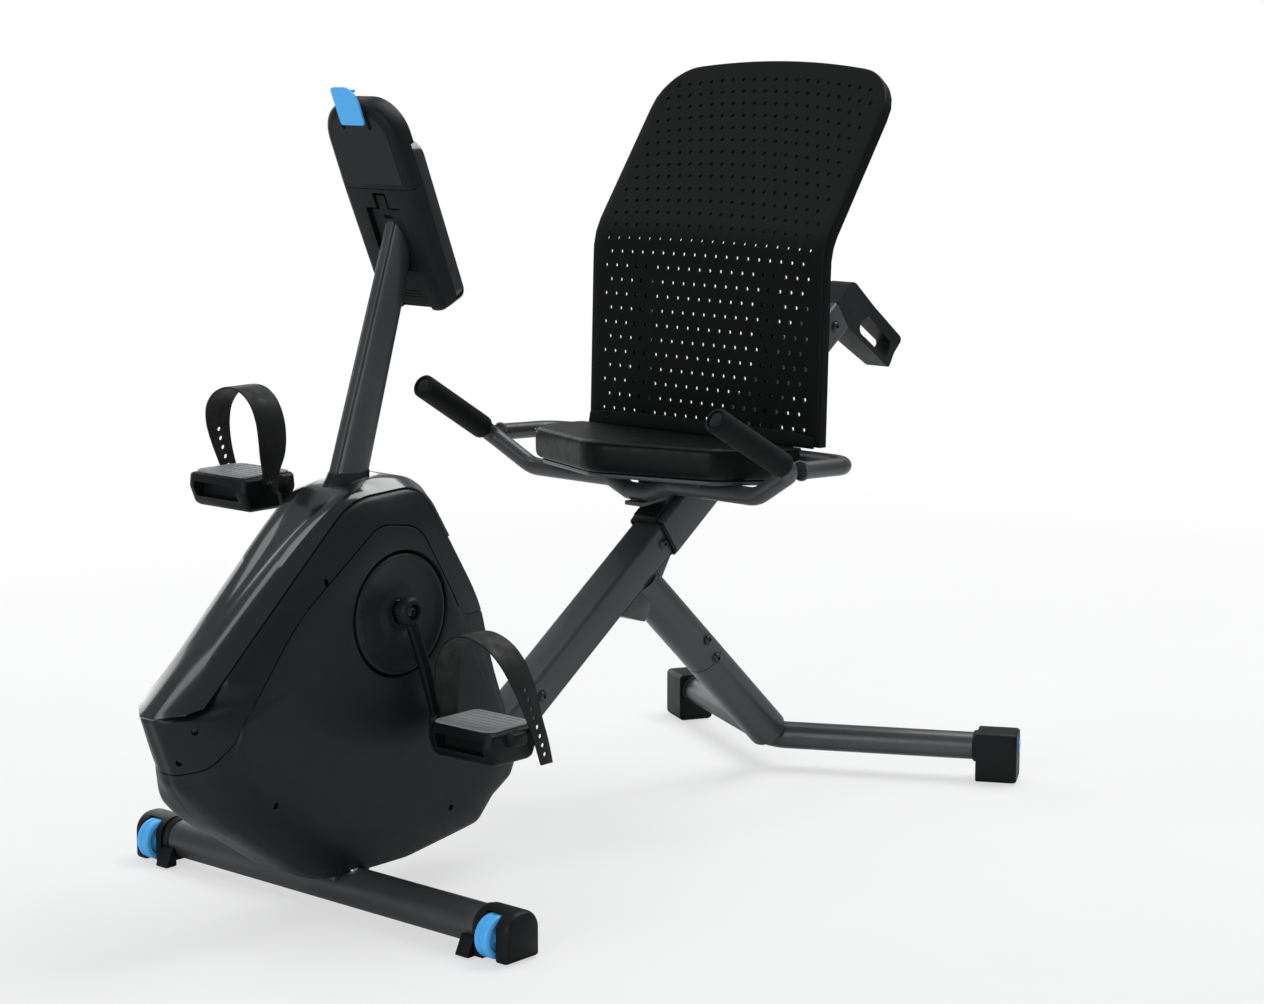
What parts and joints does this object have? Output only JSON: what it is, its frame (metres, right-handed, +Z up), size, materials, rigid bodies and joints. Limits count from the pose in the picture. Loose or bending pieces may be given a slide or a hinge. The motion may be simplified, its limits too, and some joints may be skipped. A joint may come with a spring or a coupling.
{
  "type": "exercise bike",
  "caption": "Recumbent exercise bike: enclosed flywheel housing, strapped pedals, console on a mast, and a seat with a perforated backrest that slides on an inclined beam.",
  "frame": {"origin": "on the floor, at the middle of the length and width", "axes": "+Z up, +Y rearward along the length, +X to the rider's left"},
  "size_m": [0.68, 1.4598, 1.036],
  "materials": {
    "steel": "dark grey satin powder coat",
    "dark_plastic": "fine-textured black moulding",
    "gloss_plastic": "polished black moulding",
    "rubber": "soft black rubber",
    "blue_plastic": "bright blue moulding",
    "bare_steel": "bare steel",
    "cast_iron": "machined cast iron",
    "cushion": "black grained upholstery skin over foam",
    "screen": "dark display window"
  },
  "bodies": {
    "base": {"front_stabiliser": "steel", "front_cap_left": "dark_plastic", "front_cap_right": "dark_plastic", "wheel_axle_left": "bare_steel", "wheel_axle_right": "bare_steel", "stabiliser_saddle": "steel", "main_frame": "steel", "main_beam": "steel", "stop_bolt": "bare_steel", "rear_strut_upper": "steel", "rear_strut_lower": "steel", "rear_base": "steel", "rear_foot_left": "dark_plastic", "rear_foot_right": "dark_plastic", "rear_handle": "dark_plastic", "mast": "steel", "flywheel_fork": "steel", "flywheel_axle": "bare_steel", "magnet_brake": "bare_steel", "drive_belt": "rubber", "crank_bearing_left": "bare_steel", "crank_bearing_right": "bare_steel", "shroud_left": "dark_plastic", "shroud_right": "dark_plastic", "front_cover": "gloss_plastic", "nose_plate": "dark_plastic", "crank_cover_left": "dark_plastic", "crank_cover_right": "dark_plastic", "console_back": "dark_plastic", "console_top": "dark_plastic", "console_front": "gloss_plastic", "console_screen": "screen", "battery_cover": "dark_plastic"},
    "wheel_left": {"transport_wheel_left": "blue_plastic"},
    "wheel_right": {"transport_wheel_right": "blue_plastic"},
    "crank": {"crank_axle": "bare_steel", "drive_pulley": "dark_plastic", "crank_arm_left": "steel", "crank_arm_right": "steel", "pedal_axle_left": "bare_steel", "pedal_axle_right": "bare_steel"},
    "flywheel": {"flywheel": "cast_iron", "flywheel_pulley": "bare_steel"},
    "pedal_left": {"pedal_left": "dark_plastic", "pedal_strap_left": "rubber"},
    "pedal_right": {"pedal_right": "dark_plastic", "pedal_strap_right": "rubber"},
    "seat": {"seat_sleeve": "steel", "sleeve_collar": "dark_plastic", "handlebar": "steel", "handlebar_bracket": "steel", "seat_rail": "steel", "grip_left": "rubber", "grip_right": "rubber", "seat_pan": "steel", "seat_cushion": "cushion", "backrest_panel": "steel"},
    "seat_knob": {"seat_lock_knob": "dark_plastic"},
    "clip": {"tablet_clip": "blue_plastic"},
    "key": {"console_key": "rubber"}
  },
  "joints": [
    {"name": "wheel_left_spin", "type": "hinge", "parent": "base", "child": "wheel_left", "pos_m": [0.3085, -0.4745, 0.0285], "axis": [1, 0, 0], "continuous": true},
    {"name": "wheel_right_spin", "type": "hinge", "parent": "base", "child": "wheel_right", "pos_m": [-0.3085, -0.4745, 0.0285], "axis": [1, 0, 0], "continuous": true},
    {"name": "crank_spin", "type": "hinge", "parent": "base", "child": "crank", "pos_m": [0, -0.393, 0.375], "axis": [1, 0, 0], "continuous": true},
    {"name": "flywheel_spin", "type": "hinge", "parent": "base", "child": "flywheel", "pos_m": [0, -0.552, 0.205], "axis": [1, 0, 0], "continuous": true},
    {"name": "pedal_left_spin", "type": "hinge", "parent": "crank", "child": "pedal_left", "pos_m": [0.166, -0.34603, 0.23044], "axis": [1, 0, 0], "continuous": true},
    {"name": "pedal_right_spin", "type": "hinge", "parent": "crank", "child": "pedal_right", "pos_m": [-0.166, -0.43997, 0.51956], "axis": [1, 0, 0], "continuous": true},
    {"name": "seat_slide", "type": "slide", "parent": "base", "child": "seat", "axis": [0, 0.8191, 0.5736], "range_m": [0, 0.22]},
    {"name": "seat_lock_pull", "type": "slide", "parent": "seat", "child": "seat_knob", "axis": [-1, 0, 0], "range_m": [0, 0.01], "stiffness_N_per_m": 600},
    {"name": "tablet_clip_slide", "type": "slide", "parent": "base", "child": "clip", "axis": [0, -0.3827, 0.9239], "range_m": [0, 0.03], "stiffness_N_per_m": 120},
    {"name": "console_key_press", "type": "slide", "parent": "base", "child": "key", "axis": [0, -0.9239, -0.3827], "range_m": [0, 0.0015], "stiffness_N_per_m": 500}
  ],
  "couplings": [
    {"joint": "flywheel_spin", "follows": "crank_spin", "ratio": 6.25}
  ]
}
